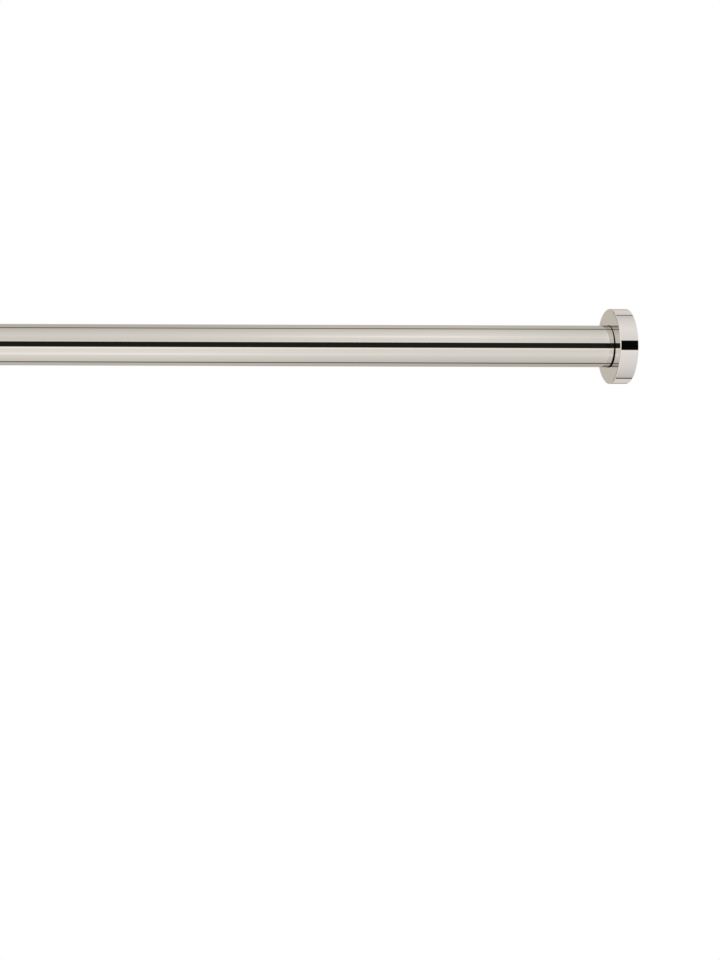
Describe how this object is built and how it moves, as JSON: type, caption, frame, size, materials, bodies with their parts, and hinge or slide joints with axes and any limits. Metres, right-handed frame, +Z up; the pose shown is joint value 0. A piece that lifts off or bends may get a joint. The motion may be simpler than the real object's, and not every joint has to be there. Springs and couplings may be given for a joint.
{
  "type": "spring tension rod",
  "caption": "Telescoping round tension rod with a twist lock, an inner spring, disc flanges and rubber wall pads.",
  "frame": {"origin": "centre of the right wall pad's outer face, where the rod meets the right wall", "axes": "+X out of the right wall pad, along the rod's axis into the right wall; the rod runs towards -X; +Z up, and -Y is the side the picture shows"},
  "size_m": [0.711, 0.0456, 0.0456],
  "materials": {
    "polished_nickel": "mirror polished",
    "steel": "zinc plated",
    "spring_steel": "drawn wire",
    "rubber": "matte",
    "white_plastic": "moulded",
    "black_plastic": "moulded",
    "grey_plastic": "moulded"
  },
  "bodies": {
    "outer_assembly": {"outer_tube": "polished_nickel", "mouth_bush": "white_plastic", "end_plug_right": "black_plastic", "foot_right": "steel", "wall_pad_right": "rubber", "flange_right": "polished_nickel"},
    "collar": {"lock_collar": "white_plastic"},
    "cone": {"lock_cone": "grey_plastic"},
    "bar_assembly": {"drive_bar": "steel", "stop_nut": "steel", "spring_washer": "steel", "bar_nut": "steel"},
    "inner_assembly": {"inner_tube": "polished_nickel", "guide_plug": "white_plastic", "stop_plug": "grey_plastic", "tension_spring": "spring_steel", "end_plug_left": "black_plastic", "foot_left": "steel", "wall_pad_left": "rubber", "flange_left": "polished_nickel"}
  },
  "joints": [
    {"name": "length_slide", "type": "slide", "parent": "outer_assembly", "child": "collar", "axis": [-1, 0, 0], "range_m": [-0.101, 0.305]},
    {"name": "twist_lock", "type": "hinge", "parent": "collar", "child": "bar_assembly", "pos_m": [-0.2, 0, 0], "axis": [1, 0, 0], "range_deg": [0, 360]},
    {"name": "cone_draw", "type": "slide", "parent": "collar", "child": "cone", "axis": [-1, 0, 0], "range_m": [0, 0.003]},
    {"name": "spring_plunge", "type": "slide", "parent": "bar_assembly", "child": "inner_assembly", "axis": [1, 0, 0], "range_m": [0, 0.028], "stiffness_N_per_m": 3500, "springref_m": -0.02, "deforming": ["tension_spring"]}
  ],
  "couplings": [
    {"joint": "cone_draw", "follows": "twist_lock", "m_per_rad": 0.00047746}
  ]
}
